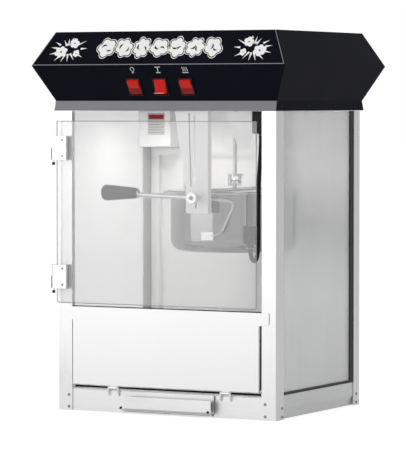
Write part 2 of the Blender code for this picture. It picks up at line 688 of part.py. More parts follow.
CORD_ROUTE = [
    (0.1480, -0.1000, 0.4676), (0.1480, -0.1000, 0.4560), (0.1478, -0.1010, 0.4400),
    (0.1474, -0.1038, 0.4150), (0.1470, -0.1066, 0.3850), (0.1468, -0.1082, 0.3550),
    (0.1468, -0.1088, 0.3250), (0.1468, -0.1086, 0.3000), (0.1462, -0.1078, 0.2830),
    (0.1443, -0.1060, 0.2700), (0.1405, -0.1030, 0.2615), (0.1350, -0.0990, 0.2583),
    (0.1295, -0.0948, 0.2602), (0.1252, -0.0908, 0.2662), (0.1229, -0.0882, 0.2722),
    (0.1225, -0.0875, 0.2774),
]


def smooth_route(route, spacing):
    """A Catmull-Rom curve through the route's points, read at even steps."""
    points = [Vector(p) for p in route]
    padded = [2 * points[0] - points[1]] + points + [2 * points[-1] - points[-2]]
    dense = []
    for a, b, c, d in zip(padded, padded[1:], padded[2:], padded[3:]):
        for i in range(16):
            t = i / 16
            dense.append(0.5 * (2 * b + (c - a) * t + (2 * a - 5 * b + 4 * c - d) * t ** 2
                                + (3 * b - a - 3 * c + d) * t ** 3))
    dense.append(points[-1])
    steps = round(sum((q - p).length for p, q in zip(dense, dense[1:])) / spacing)
    return even_points(dense, steps)


def even_points(dense, steps):
    lengths = [0.0]
    for p, q in zip(dense, dense[1:]):
        lengths.append(lengths[-1] + (q - p).length)
    result = []
    index = 0
    for step in range(steps + 1):
        target = lengths[-1] * step / steps
        while index < len(dense) - 2 and lengths[index + 1] < target:
            index += 1
        share = (target - lengths[index]) / (lengths[index + 1] - lengths[index])
        result.append(dense[index].lerp(dense[index + 1], share))
    return result


def make_cord():
    tube("kettle_cord", smooth_route(CORD_ROUTE, 0.0065), CORD_R, "cord")


# ---------------------------------------------------------------- door, flap and tray
def make_door():
    box("glass_door", (DOOR_X[0], DOOR_Y[0], DOOR_Z[0]), (DOOR_X[1], DOOR_Y[1], DOOR_Z[1]), "glass")
    for name, (low, high) in HINGE_Z.items():
        make_hinge(name, low, high)


def make_hinge(name, low, high):
    """Clamp on the glass's edge with a lower knuckle, and a bracket with an upper knuckle and pin."""
    x, y = HINGE_AXIS
    middle = (low + high) / 2
    front, back = DOOR_Y[0] - GAP, DOOR_Y[1] + GAP
    profile = [(-0.2085, front - 0.0057), (-0.1830, front - 0.0057), (-0.1830, front),
               (DOOR_X[0] - GAP, front),
               (DOOR_X[0] - GAP, back), (-0.1830, back), (-0.1830, back + 0.0030), (-0.2085,
                                                                                    back + 0.0030)]
    clamp = plate("hinge_clamp_" + name, "XY", (low, high), [profile], "bright_steel")
    knuckle = cylinder("clamp_knuckle", (x, y, low), (x, y, middle - 0.0002), 0.0031, sides=20)
    strap = box("clamp_strap", (x, y - 0.0028, low), (-0.2070, y - 0.0002, middle - 0.0002))
    bore = cylinder("clamp_bore", (x, y, low - 0.01), (x, y, high), 0.0020, sides=16)
    cut(join(clamp, knuckle, strap), bore)
    leaf = box("hinge_bracket_" + name, (-0.2220, -0.1680, low), (-0.2165, -0.1590, high),
               "bright_steel")
    web = box("bracket_web", (-0.2200, -0.1617, low), (-0.2063, -0.1590, high))
    foot = box("bracket_foot", (-0.2085, -0.1617, low), (-0.2063, -0.1370, high))
    fixed = cylinder("bracket_knuckle", (x, y, middle + 0.0002), (x, y, high), 0.0031, sides=20)
    bridge = box("bracket_strap", (-0.2180, y - 0.0014, middle + 0.0002), (x, y + 0.0014, high))
    pin = cylinder("hinge_pin", (x, y, low - 0.008), (x, y, high - 0.001), 0.0015, sides=12)
    join(leaf, web, foot, bridge, fixed, pin)


def make_flap():
    left, right = FLAP_X
    low, high = FLAP_Z
    back = FLAP_Y[1]
    ear_low, ear_out = 0.157, 0.0185
    outline = [(left, low), (right, low), (right, ear_low - 0.002)]
    outline += arc((right + ear_out - 0.003, ear_low + 0.003), 0.003, -90, 0, 3)
    outline += arc((right + ear_out - 0.003, high - 0.003), 0.003, 0, 90, 3)
    outline += arc((left - ear_out + 0.003, high - 0.003), 0.003, 90, 180, 3)
    outline += arc((left - ear_out + 0.003, ear_low + 0.003), 0.003, 180, 270, 3)
    outline.append((left, ear_low - 0.002))
    flap = plate("serving_flap", "XZ", FLAP_Y, [outline], "bright_steel")
    for edge, reach in ((high - THIN - 0.0004, 0.0080), (low + 0.0004, 0.0110)):
        join(flap,
             box("flap_return", (left + 0.0008, back - 0.0006, edge), (right - 0.0008, back + reach, edge + THIN)))
    wing = [(back - 0.0005, low + 0.0009), (back - 0.0005, 0.1350), (-0.0520, 0.0870),
            (-0.0750, low + 0.0034)]
    for x in FLAP_WINGS:
        join(flap, plate("flap_wing", "YZ", (x, x + THIN), [wing]))
    for tab in FLAP_TABS:
        add_flap_tab(flap, *tab)


def add_flap_tab(flap, left, right):
    y, z = FLAP_AXIS
    strip = box("flap_tab", (left, FLAP_Y[0], z), (right, FLAP_Y[1], FLAP_Z[0] + 0.001))
    eye = cylinder("flap_eye", (left, y, z), (right, y, z), 0.0026, sides=16)
    bore = cylinder("flap_eye_bore", (left - 0.01, y, z), (right + 0.01, y, z), 0.0016, sides=12)
    cut(join(flap, strip, eye), bore)


def make_tray():
    """A sheet folded into a U, the wall that closes its back, and the finger pull that closes its front."""
    left, right = TRAY_X
    low, high = TRAY_Z
    front, back_wall = TRAY_Y[0], TRAY_Y[1] - THIN
    fold = [(left, low), (right, low), (right, high), (right - THIN, high), (right - THIN, low + THIN),
            (left + THIN, low + THIN), (left + THIN, high), (left, high)]
    plate("kernel_tray", "XZ", (front, back_wall - GAP), [fold], "bright_steel")
    box("tray_back", (left, back_wall, low), (right, TRAY_Y[1], high), "bright_steel")
    back, out = TRAY_Y[0] - 0.0004, -0.1735
    low, bend = 0.0064, 0.003
    section = [(back, 0.0370), (back - THIN, 0.0370), (back - THIN, low + THIN),
               (out + THIN + bend, low + THIN),
               (out + THIN, low + THIN + bend), (out + THIN, 0.0290), (out, 0.0290), (out, low + bend),
               (out + bend, low), (back, low)]
    plate("tray_pull", "YZ", PULL_X, [section], "stainless")


def main():
    make_base()
    make_front_rail()
    make_other_rails()
    make_posts()
    make_side_glazing()
    make_rear()
    make_canopy()
    make_front_plates()
    make_switches()
    make_ceiling()
    make_lamp()
    make_motor()
    make_hangers()
    make_kettle_shell()
    make_kettle_pot()
    make_trunnions()
    make_handle()
    make_crank()
    make_terminal()
    make_bridge()
    make_lid("lid_left", -1)
    make_lid("lid_right", 1)
    make_stirrer()
    make_receptacle()
    make_cord()
    make_door()
    make_flap()
    make_tray()


clear_scene()
PARTS = new_collection("popcorn_machine")
TOOLS = new_collection("cutters")
main()
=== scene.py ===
"""Looks for the countertop popcorn machine: camera, cord, studio, finishes and fine pieces."""
import math
import random

import bmesh
import bpy
from mathutils import Matrix, Vector


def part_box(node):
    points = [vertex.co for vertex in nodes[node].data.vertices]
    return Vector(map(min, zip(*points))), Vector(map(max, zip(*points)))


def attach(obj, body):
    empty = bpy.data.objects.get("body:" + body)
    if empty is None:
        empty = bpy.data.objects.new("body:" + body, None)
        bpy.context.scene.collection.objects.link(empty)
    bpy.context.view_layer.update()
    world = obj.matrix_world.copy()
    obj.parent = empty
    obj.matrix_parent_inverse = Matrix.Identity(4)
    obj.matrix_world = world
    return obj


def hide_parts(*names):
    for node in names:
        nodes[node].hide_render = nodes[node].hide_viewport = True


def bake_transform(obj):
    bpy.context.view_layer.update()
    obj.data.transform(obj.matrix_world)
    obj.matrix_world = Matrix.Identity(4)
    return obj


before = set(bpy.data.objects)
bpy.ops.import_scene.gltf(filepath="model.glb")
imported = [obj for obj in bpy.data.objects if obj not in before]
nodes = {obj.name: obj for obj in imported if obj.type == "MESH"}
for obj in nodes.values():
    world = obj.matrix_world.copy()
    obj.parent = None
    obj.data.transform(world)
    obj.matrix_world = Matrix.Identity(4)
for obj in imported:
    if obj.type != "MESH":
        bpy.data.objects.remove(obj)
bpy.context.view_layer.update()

random.seed(7)
MM = 0.001
HINGE_AXIS = (-0.2125, -0.1665)     # x and y of the door's pins
POST_MIDDLE_X = 0.1865              # middle of the posts' front and rear faces
CABINET_FACE_Y = 0.1605             # front and rear faces of the cabinet, from its middle
POST_INNER_X = 0.1803               # inner edge of the posts' faces
AGITATOR_AXIS = (0.0450, 0.0040)    # x and y of the stirrer's shaft
PIVOT_Z = 0.363                     # height of the pins that the kettle tips on
THICK_SIGN = 1.5 * MM
SHARP = math.radians(35)            # edges that turn more than this stay sharp
SKY_FRONT = 0.72
SKY_BACK = 0.54


# ---------------------------------------------------------------- camera
def make_camera():
    """A long lens, a little above the machine's middle and well to its right."""
    lens = bpy.data.cameras.new("camera")
    lens.lens = 242.8
    lens.sensor_width = 36.0
    lens.clip_end = 50.0
    camera = bpy.data.objects.new("camera", lens)
    camera.location = (2.4277, -4.5853, 0.5233)
    camera.rotation_euler = (math.radians(90 - 2.334), 0.0, math.radians(28.039))
    bpy.context.scene.collection.objects.link(camera)
    bpy.context.scene.camera = camera


# ---------------------------------------------------------------- material helpers
def node(tree, kind, **settings):
    """A shader node. A setting names a socket, or else a property of the node."""
    made = tree.nodes.new(kind)
    for name, value in settings.items():
        socket = name.replace("_", " ").title() if "_" in name else name
        if socket in made.inputs:
            made.inputs[socket].default_value = value
        else:
            setattr(made, name, value)
    return made


def shader_for(name):
    """A new material, its node tree and its Principled shader."""
    material = bpy.data.materials.new(name)
    material.use_nodes = True
    tree = material.node_tree
    return material, tree, tree.nodes["Principled BSDF"]


def pattern(tree, stretch, detail=3.0):
    """Noise in the object's own space. stretch gives how many grains fit in a metre along X, Y and Z."""
    place = tree.nodes.new("ShaderNodeTexCoord")
    mapping = node(tree, "ShaderNodeMapping", Scale=stretch)
    noise = node(tree, "ShaderNodeTexNoise", Scale=1.0, Detail=detail, Roughness=0.55)
    tree.links.new(place.outputs["Object"], mapping.inputs["Vector"])
    tree.links.new(mapping.outputs["Vector"], noise.inputs["Vector"])
    return noise.outputs["Fac"]


def ramp(tree, source, low, high, start=0.3, end=0.7):
    """source read from start to end as a colour or a number from low to high."""
    mix = node(tree, "ShaderNodeMapRange")
    mix.inputs["From Min"].default_value = start
    mix.inputs["From Max"].default_value = end
    tree.links.new(source, mix.inputs["Value"])
    if isinstance(low, (int, float)):
        mix.inputs["To Min"].default_value = low
        mix.inputs["To Max"].default_value = high
        return mix.outputs["Result"]
    blend = node(tree, "ShaderNodeMix", data_type="RGBA")
    colour_sockets = [socket for socket in blend.inputs if socket.type == "RGBA"]
    colour_sockets[0].default_value = (*low, 1.0)
    colour_sockets[1].default_value = (*high, 1.0)
    tree.links.new(mix.outputs["Result"], blend.inputs["Factor"])
    return [socket for socket in blend.outputs if socket.type == "RGBA"][0]


def add_bump(tree, shader, height, strength, distance):
    bump = node(tree, "ShaderNodeBump", Strength=strength, Distance=distance)
    tree.links.new(height, bump.inputs["Height"])
    tree.links.new(bump.outputs["Normal"], shader.inputs["Normal"])


def scaled(colour, factor):
    return tuple(min(1.0, channel * factor) for channel in colour)


GRAIN = {"x": (12, 520, 520), "y": (520, 12, 520), "z": (520, 520, 12)}


def brushed_metal(name, colour, along="z", roughness=(0.24, 0.36), bump=0.05, shade=0.02, metallic=1.0):
    """Sheet metal with its grain along one axis, and faint large smudges."""
    material, tree, shader = shader_for(name)
    shader.inputs["Metallic"].default_value = metallic
    grain = pattern(tree, GRAIN[along], detail=2.0)
    smudge = pattern(tree, (7, 7, 5), detail=4.0)
    tree.links.new(ramp(tree, grain, scaled(colour, 1 - shade), scaled(colour, 1 + shade)),
                   shader.inputs["Base Color"])
    both = node(tree, "ShaderNodeMath", operation="MULTIPLY_ADD")
    tree.links.new(grain, both.inputs[0])
    both.inputs[1].default_value = 0.5
    tree.links.new(ramp(tree, smudge, 0.0, 0.5), both.inputs[2])
    tree.links.new(ramp(tree, both.outputs[0], *roughness, 0.2, 0.8), shader.inputs["Roughness"])
    add_bump(tree, shader, grain, bump, 0.00006)
    return material


def painted(name, colour, roughness, specular, shade=0.12):
    """Paint or moulded plastic: slight colour drift, and an orange-peel surface."""
    material, tree, shader = shader_for(name)
    shader.inputs["Specular IOR Level"].default_value = specular
    drift = pattern(tree, (11, 11, 11), detail=4.0)
    peel = pattern(tree, (520, 520, 520), detail=2.0)
    tree.links.new(ramp(tree, drift, scaled(colour, 1 - shade), scaled(colour, 1 + shade)),
                   shader.inputs["Base Color"])
    tree.links.new(ramp(tree, drift, *roughness), shader.inputs["Roughness"])
    add_bump(tree, shader, peel, 0.05, 0.0002)
    return material


def clear_glass(name, colour, alpha):
    """A pane that lets most light straight through. Its thin white share is partly haze and partly a painted
    reflection, with faint wipe marks.
    """
    material, tree, shader = shader_for(name)
    streaks = pattern(tree, (9, 9, 2.5), detail=3.0)
    haze_and_painted_reflection = ramp(tree, streaks, scaled(colour, 0.985), scaled(colour, 1.0))
    tree.links.new(haze_and_painted_reflection, shader.inputs["Base Color"])
    tree.links.new(ramp(tree, streaks, 0.02, 0.06), shader.inputs["Roughness"])
    tree.links.new(ramp(tree, streaks, alpha - 0.012, alpha + 0.012), shader.inputs["Alpha"])
    shader.inputs["IOR"].default_value = 1.45
    return material


def red_with_painted_glow(name, colour, glow):
    """Red plastic with a faint painted glow from its emission, standing in for light that shines into it."""
    material, tree, shader = shader_for(name)
    swirl = pattern(tree, (160, 160, 160), detail=2.0)
    tree.links.new(ramp(tree, swirl, scaled(colour, 0.88), scaled(colour, 1.1)), shader.inputs["Base Color"])
    tree.links.new(ramp(tree, swirl, scaled(colour, 0.8), colour), shader.inputs["Emission Color"])
    # painted glow: the rocker is no lamp
    shader.inputs["Emission Strength"].default_value = glow
    tree.links.new(ramp(tree, swirl, 0.16, 0.26), shader.inputs["Roughness"])
    shader.inputs["Specular IOR Level"].default_value = 0.25
    add_bump(tree, shader, swirl, 0.05, 0.0002)
    return material


def lit_bulb(name, colour, glow):
    """Frosted glass, lit from inside."""
    material, tree, shader = shader_for(name)
    frost = pattern(tree, (200, 200, 200), detail=2.0)
    tree.links.new(ramp(tree, frost, scaled(colour, 0.96), colour), shader.inputs["Base Color"])
    tree.links.new(ramp(tree, frost, scaled(colour, 0.96), colour), shader.inputs["Emission Color"])
    shader.inputs["Emission Strength"].default_value = glow
    tree.links.new(ramp(tree, frost, 0.24, 0.34), shader.inputs["Roughness"])
    return material


# ---------------------------------------------------------------- finishes of the CAD nodes
WHITE_STEEL = (0.85, 0.85, 0.855)
SOFT_STEEL = (0.74, 0.745, 0.75)
POLISHED = (0.64, 0.64, 0.645)
# darker than the other polished steel: a painted reflection of a dark room in the kettle
KETTLE_STEEL_PAINTED_DARK = (0.36, 0.36, 0.365)


def make_finishes():
    """One material for each finish, by name."""
    return {
        "post": brushed_metal("post_steel", WHITE_STEEL, "z", (0.26, 0.38)),
        "rail_x": brushed_metal("rail_steel_x", WHITE_STEEL, "x", (0.28, 0.40)),
        "rail_y": brushed_metal("rail_steel_y", SOFT_STEEL, "y", (0.30, 0.42)),
        "flap": brushed_metal("flap_steel", WHITE_STEEL, "x", (0.34, 0.42), bump=0.02, shade=0.008),
        "wall": brushed_metal("wall_steel", (0.98, 0.98, 0.98), "x", (0.34, 0.48), metallic=0.12),
        "hanger": brushed_metal("hanger_steel", (0.99, 0.99, 0.99), "z", (0.32, 0.42), metallic=0.0),
        "guard": brushed_metal("guard_steel", (0.99, 0.99, 0.99), "x", (0.32, 0.42), metallic=0.0),
        "hinge": brushed_metal("hinge_steel", scaled(WHITE_STEEL, 0.95), "x", (0.26, 0.36)),
        "screw": brushed_metal("screw_steel", (0.34, 0.34, 0.35), "x", (0.26, 0.36)),
        "polished": brushed_metal("polished_steel", POLISHED, "z", (0.08, 0.16), bump=0.02),
        "kettle": brushed_metal("kettle_steel", KETTLE_STEEL_PAINTED_DARK, "z", (0.08, 0.16), bump=0.02),
        "pot": brushed_metal("pot_steel", scaled(KETTLE_STEEL_PAINTED_DARK, 1.3), "x", (0.16, 0.26), bump=0.03),
        "galvanised": brushed_metal("galvanised", (0.55, 0.56, 0.57), "x", (0.40, 0.58), shade=0.10),
        "black_paint": painted("black_paint", (0.0052, 0.0058, 0.0110), (0.40, 0.48), specular=0.03),
        "trim": painted("grey_trim", (0.245, 0.245, 0.265), (0.34, 0.44), specular=0.25, shade=0.04),
        # painted highlight: a grey lighter than the black sign plate, for its edges
        "edge": painted("sign_edge_painted_highlight", (0.24, 0.24, 0.26), (0.30, 0.40), specular=0.3, shade=0.05),
        "gasket": painted("gasket_rubber", (0.05, 0.05, 0.052), (0.55, 0.68), specular=0.3),
        "plastic": painted("black_plastic", (0.012, 0.012, 0.013), (0.36, 0.48), specular=0.2),
        "cord": painted("cord_jacket", (0.008, 0.008, 0.009), (0.42, 0.55), specular=0.2),
        "print": painted("sign_print", (0.95, 0.95, 0.94), (0.40, 0.50), specular=0.3, shade=0.02),
        "faded_print": painted("symbol_print", (0.62, 0.62, 0.65), (0.40, 0.50), specular=0.3, shade=0.04),
        "label": painted("label_paper", (0.60, 0.60, 0.60), (0.50, 0.62), specular=0.2, shade=0.03),
        "label_red": painted("label_red", (0.36, 0.02, 0.035), (0.45, 0.55), specular=0.2),
        "label_grey": painted("label_grey", (0.22, 0.22, 0.23), (0.50, 0.60), specular=0.2),
        # painted shadow: near black, used for beads in gaps and marks on the hanger that stand for shade
        "shadow": painted("painted_shadow_black", (0.006, 0.006, 0.007), (0.5, 0.6), specular=0.05),
        "red": red_with_painted_glow("red_rocker", (0.64, 0.010, 0.005), 0.02),
        # painted shade: a darker copy of the rocker red, laid on the outer rockers' lower halves
        "painted_shade_red": red_with_painted_glow("painted_shade_rocker_red", (0.24, 0.006, 0.009), 0.01),
        # painted highlight: a pale red with a little glow, for the middle rocker's lower edge
        "painted_highlight_red": red_with_painted_glow("painted_highlight_rocker_edge", (0.90, 0.30, 0.24), 0.06),
        "bulb": lit_bulb("frosted_bulb", (0.98, 0.96, 0.93), 120.0),
        # the white share of each pane is partly haze and partly painted reflection
        "side_glass": clear_glass("side_glass", (0.97, 0.98, 0.98), 0.34),
        "door_glass": clear_glass("door_glass", (0.97, 0.97, 0.97), 0.17),
        "glass_edge": clear_glass("polished_glass_edge", (0.36, 0.39, 0.39), 0.80),
    }


NODE_FINISHES = {
    "post": ["post_front_left", "post_front_right", "post_rear_left", "post_rear_right"],
    "rail_x": ["front_rail", "rear_rail", "tray_pull"],
    "guard": ["receptacle_guard"],
    "rail_y": ["left_rail", "right_rail"],
    "flap": ["serving_flap", "kernel_tray", "tray_back"],
    "wall": ["rear_panel", "rear_frame", "wiring_box", "ceiling_plate", "floor_deck"],
    "hanger": ["hanger_front", "hanger_rear"],
    "hinge": ["hinge_clamp_upper", "hinge_clamp_lower", "hinge_bracket_upper", "hinge_bracket_lower"],
    "polished": ["trunnion_front", "trunnion_rear", "handle_rod", "crank_rod", "lid_bridge", "lid_left",
                 "lid_right", "drive_shaft", "stirrer"],
    "kettle": ["kettle_shell"],
    "pot": ["kettle_pot"],
    "galvanised": ["base_pan", "agitator_motor", "heater_plate", "lamp_socket"],
    "black_paint": ["canopy_shell", "sign_plate"],
    "trim": ["front_trim"],
    "gasket": ["gasket_left", "gasket_right"],
    "plastic": ["cord_gland", "switch_housing_light", "switch_housing_motor", "switch_housing_heat",
                "receptacle", "handle_grip", "terminal_box"],
    "cord": ["kettle_cord"],
    "red": ["rocker_light", "rocker_motor", "rocker_heat"],
    "bulb": ["lamp_bulb"],
    "side_glass": ["side_glass_left", "side_glass_right"],
    "door_glass": ["glass_door"],
}


def finish_nodes():
    for finish, names in NODE_FINISHES.items():
        for name in names:
            for slot in nodes[name].material_slots:
                slot.material = FINISHES[finish]


# ---------------------------------------------------------------- mesh helpers
def piece(name, mesh, finish, body):
    """A visible piece with a finish, riding on a body."""
    obj = bpy.data.objects.new(name, mesh)
    bpy.context.scene.collection.objects.link(obj)
    mesh.materials.clear()
    mesh.materials.append(FINISHES[finish])
    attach(obj, body)
    return obj


def mesh_from(name, bm):
    bmesh.ops.recalc_face_normals(bm, faces=bm.faces)
    mesh = bpy.data.meshes.new(name)
    bm.to_mesh(mesh)
    bm.free()
    mesh.shade_smooth()
    mesh.set_sharp_from_angle(angle=SHARP)
    return mesh


def lathe(profile, steps=32):
    """A bmesh turned about Z from (radius, height) points; ends on the axis are closed."""
    bm = bmesh.new()
    rings = []
    for radius, height in profile:
        if radius < 1e-7:
            rings.append([bm.verts.new((0, 0, height))])
            continue
        rings.append([bm.verts.new((radius * math.cos(a), radius * math.sin(a), height))
                      for a in (math.tau * i / steps for i in range(steps))])
    for lower, upper in zip(rings, rings[1:]):
        for i in range(steps):
            j = (i + 1) % steps
            if len(lower) == 1:
                bm.faces.new((lower[0], upper[i], upper[j]))
            elif len(upper) == 1:
                bm.faces.new((lower[i], lower[j], upper[0]))
            else:
                bm.faces.new((lower[i], lower[j], upper[j], upper[i]))
    return bm


def axis_matrix(origin, direction):
    """Moves a shape made along +Z to origin, pointing along direction."""
    turn = Vector(direction).to_track_quat("Z", "Y").to_matrix().to_4x4()
    return Matrix.Translation(Vector(origin)) @ turn


def turned(name, profile, origin, direction, finish, body, steps=32):
    bm = lathe(profile, steps)
    bmesh.ops.transform(bm, matrix=axis_matrix(origin, direction), verts=bm.verts)
    return piece(name, mesh_from(name, bm), finish, body)


def tube_mesh(name, points, radius, closed=False, resolution=4):
    """A round bead along points, as a mesh with rounded caps welded on."""
    curve = bpy.data.curves.new(name, "CURVE")
    curve.dimensions = "3D"
    curve.bevel_depth = radius
    curve.bevel_resolution = resolution
    curve.use_fill_caps = True
    spline = curve.splines.new("POLY")
    spline.points.add(len(points) - 1)
    for point, place in zip(spline.points, points):
        point.co = (*place, 1.0)
    spline.use_cyclic_u = closed
    return mesh_of_curve(name, curve)


def mesh_of_curve(name, curve, place=None):
    guide = bpy.data.objects.new(name + "_guide", curve)
    bpy.context.scene.collection.objects.link(guide)
    evaluated = guide.evaluated_get(bpy.context.evaluated_depsgraph_get())
    mesh = bpy.data.meshes.new_from_object(evaluated)
    bpy.data.objects.remove(guide, do_unlink=True)
    bpy.data.curves.remove(curve)
    bm = bmesh.new()
    bm.from_mesh(mesh)
    bmesh.ops.remove_doubles(bm, verts=bm.verts, dist=0.000005)
    if place is not None:
        bmesh.ops.transform(bm, matrix=place, verts=bm.verts)
    bpy.data.meshes.remove(mesh)
    return mesh_from(name, bm)


def inlay(name, outlines, place, thickness, finish, body):
    """Flat outlines in the XY plane of place, raised by thickness. Inner outlines are holes."""
    curve = bpy.data.curves.new(name, "CURVE")
    curve.dimensions = "2D"
    curve.fill_mode = "BOTH"
    curve.extrude = thickness / 2
    for outline in outlines:
        spline = curve.splines.new("POLY")
        spline.points.add(len(outline) - 1)
        for point, (u, v) in zip(spline.points, outline):
            point.co = (u, v, 0.0, 1.0)
        spline.use_cyclic_u = True
    raised = place @ Matrix.Translation((0, 0, thickness / 2))
    return piece(name, mesh_of_curve(name, curve, raised), finish, body)


def arc(centre, radius, start, end, count):
    angles = [math.radians(start + (end - start) * i / count) for i in range(count + 1)]
    return [(centre[0] + radius * math.cos(a), centre[1] + radius * math.sin(a)) for a in angles]


def rounded(left, right, low, high, radius, count=5):
    """A rectangle with round corners."""
    corners = (((right - radius, low + radius), 270), ((right - radius, high - radius), 0),
               ((left + radius, high - radius), 90), ((left + radius, low + radius), 180))
    points = []
    for centre, start in corners:
        points += arc(centre, radius, start, start + 90, count)
    return points


def face_matrix(origin, across, up):
    """A plane through origin: its X is across, its Y is up, and its Z faces out."""
    x = Vector(across).normalized()
    y = Vector(up).normalized()
    z = x.cross(y)
    return Matrix.Translation(Vector(origin)) @ Matrix((x, y, z)).transposed().to_4x4()


# ---------------------------------------------------------------- screws and rivets
def screw_mesh(radius):
    """A pan head with a cross recess, standing on the XY plane."""
    height = radius * 0.55
    profile = [(radius * math.cos(a) ** 0.7, height * math.sin(a))
               for a in (math.radians(90 * i / 7) for i in range(7))]
    bm = lathe([(0, 0), (radius, 0)] + profile[1:] + [(0, height)], 24)
    mesh = mesh_from("screw_head", bm)
    head = bpy.data.objects.new("screw_head", mesh)
    bpy.context.scene.collection.objects.link(head)
    recess = bmesh.new()
    for size in ((1.15, 0.24, 1.0), (0.24, 1.15, 1.0)):
        made = bmesh.ops.create_cube(recess, size=1.0)
        bmesh.ops.scale(recess, vec=Vector(size) * radius, verts=made["verts"])
        bmesh.ops.translate(recess, vec=(0, 0, height * 0.45 + radius / 2), verts=made["verts"])
    cutter = bpy.data.objects.new("recess", mesh_from("recess", recess))
    bpy.context.scene.collection.objects.link(cutter)
    cut = head.modifiers.new("recess", "BOOLEAN")
    cut.operation = "DIFFERENCE"
    cut.use_self = True
    cut.object = cutter
    bpy.context.view_layer.update()
    evaluated = head.evaluated_get(bpy.context.evaluated_depsgraph_get())
    result = bpy.data.meshes.new_from_object(evaluated)
    result.set_sharp_from_angle(angle=SHARP)
    bpy.data.objects.remove(head, do_unlink=True)
    bpy.data.objects.remove(cutter, do_unlink=True)
    return result


def make_screws():
    """Pan-head screws where the sheets are held together."""
    small, large = screw_mesh(2.0 * MM), screw_mesh(2.6 * MM)
    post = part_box("post_front_right")[1]
    low, high = 6.4 * MM, 26.5 * MM
    places = []
    for side, label in ((-1, "left"), (1, "right")):
        for height, level in ((low, "low"), (high, "high")):
            for facing, end in ((-1, "front"), (1, "rear")):
                origin = (side * POST_MIDDLE_X, facing * CABINET_FACE_Y, height)
                places.append((f"screw_{end}_{label}_{level}", origin, (0, facing, 0)))
        for height, level in ((4.8 * MM, "low"), (19 * MM, "high")):
            for y, end in ((-0.1374, "front"), (0.1485, "rear")):
                origin = (side * post.x, y, height)
                places.append((f"screw_{label}_side_{end}_{level}", origin, (side, 0, 0)))
        places.append((f"screw_rear_{label}_top", (side * POST_MIDDLE_X, CABINET_FACE_Y, 0.492), (0, 1, 0)))
    for name, origin, facing in places:
        place_screw(large, name, origin, facing, "cabinet")
    for level in ("upper", "lower"):
        clamp_low, clamp_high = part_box("hinge_clamp_" + level)
        for z, end in ((clamp_low.z + 6.6 * MM, "low"), (clamp_high.z - 6.6 * MM, "high")):
            on_clamp, on_bracket = (-0.1905, clamp_low.y, z), (-0.2073, -0.1455, z)
            place_screw(small, f"screw_hinge_{level}_{end}", on_clamp, (0, -1, 0), "door")
            place_screw(small, f"screw_bracket_{level}_{end}", on_bracket, (-1, 0, 0), "cabinet")


def place_screw(mesh, name, origin, facing, body):
    turn = Matrix.Rotation(random.uniform(0, math.pi), 4, "Z")
    copy = mesh.copy()
    copy.transform(axis_matrix(origin, facing) @ turn)
    piece(name, copy, "screw", body)


def make_rivets():
    """Domed rivets round the rear panel, and along the canopy's back."""
    dome = [(0, 0), (1.9 * MM, 0), (1.9 * MM, 0.3 * MM), (1.5 * MM, 0.9 * MM), (0.8 * MM, 1.25 * MM),
            (0, 1.35 * MM)]
    _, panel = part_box("rear_panel")
    for column, x in enumerate((-0.170, -0.085, 0.0, 0.085, 0.170)):
        for row, z in enumerate((0.050, 0.492)):
            turned(f"rivet_rear_{row}_{column}", dome, (x, panel.y, z), (0, 1, 0), "hinge", "cabinet", 16)
    for column, y in enumerate((-0.150, -0.050, 0.050, 0.150)):
        for side, label in ((-1, "left"), (1, "right")):
            turned(f"rivet_canopy_{label}_{column}", dome, (side * 0.2100, y, 0.5160), (side, 0, -0.12),
                   "plastic", "cabinet", 16)


# ---------------------------------------------------------------- canopy
def sign_plane(x, share):
    """A point on the sign plate's face; share runs from its lower edge to its upper edge."""
    low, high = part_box("sign_plate")
    return Vector((x, low.y + (high.y - THICK_SIGN - low.y) * share, low.z + (high.z - low.z) * share))


def sign_matrix(x, share):
    bottom, top = sign_plane(0, 0), sign_plane(0, 1)
    return face_matrix(sign_plane(x, share), (1, 0, 0), top - bottom)


def puff(radius, lobes, phase, depth=0.16, tall=1.0, steps=72):
    """The outline of a popped kernel: a circle with round lobes."""
    outline = []
    for i in range(steps):
        a = math.tau * i / steps
        r = radius * (1 - depth + depth * 1.6 * abs(math.sin(lobes * a / 2 + phase)))
        r *= 1 + 0.07 * math.sin(2 * a + 3 * phase)
        outline.append((r * math.cos(a), r * math.sin(a) * tall))
    return outline


def shifted(outline, dx, dy, scale=1.0):
    return [(x * scale + dx, y * scale + dy) for x, y in outline]


def crescent(centre, radius, start, end, width, count=8):
    """A curved slit that tapers to a point at both ends."""
    outer = arc(centre, radius, start, end, count)
    inner = []
    for i in range(count - 1, 0, -1):
        a = math.radians(start + (end - start) * i / count)
        r = radius - width * math.sin(math.pi * i / count)
        inner.append((centre[0] + r * math.cos(a), centre[1] + r * math.sin(a)))
    return outer + inner


def make_sign():
    """A row of popped kernels in place of a name, and a burst of them at each end."""
    count, pitch, size = 7, 33.5 * MM, 14.5 * MM
    for i in range(count):
        x = (i - (count - 1) / 2) * pitch
        lobes = 5 + i % 3
        phase = 0.9 * i
        body = puff(size, lobes, phase, tall=1.06)
        slits = [crescent((-0.30 * size, 0.10 * size), 0.36 * size, 20 + 40 * i, 200 + 40 * i, 0.24 * size),
                 crescent((0.34 * size, -0.16 * size), 0.32 * size, 190 + 55 * i, 360 + 55 * i, 0.22 * size)]
        inlay(f"sign_kernel_{i}", [body] + slits, sign_matrix(x, 0.505), 0.25 * MM, "print", "cabinet")
        rim = [shifted(body, 0, 0, 1.20), shifted(body, 0, 0, 1.12)]
        inlay(f"sign_kernel_rim_{i}", rim, sign_matrix(x, 0.505), 0.2 * MM, "print", "cabinet")
    for side, label in ((-1, "left"), (1, "right")):
        make_burst(label, side)


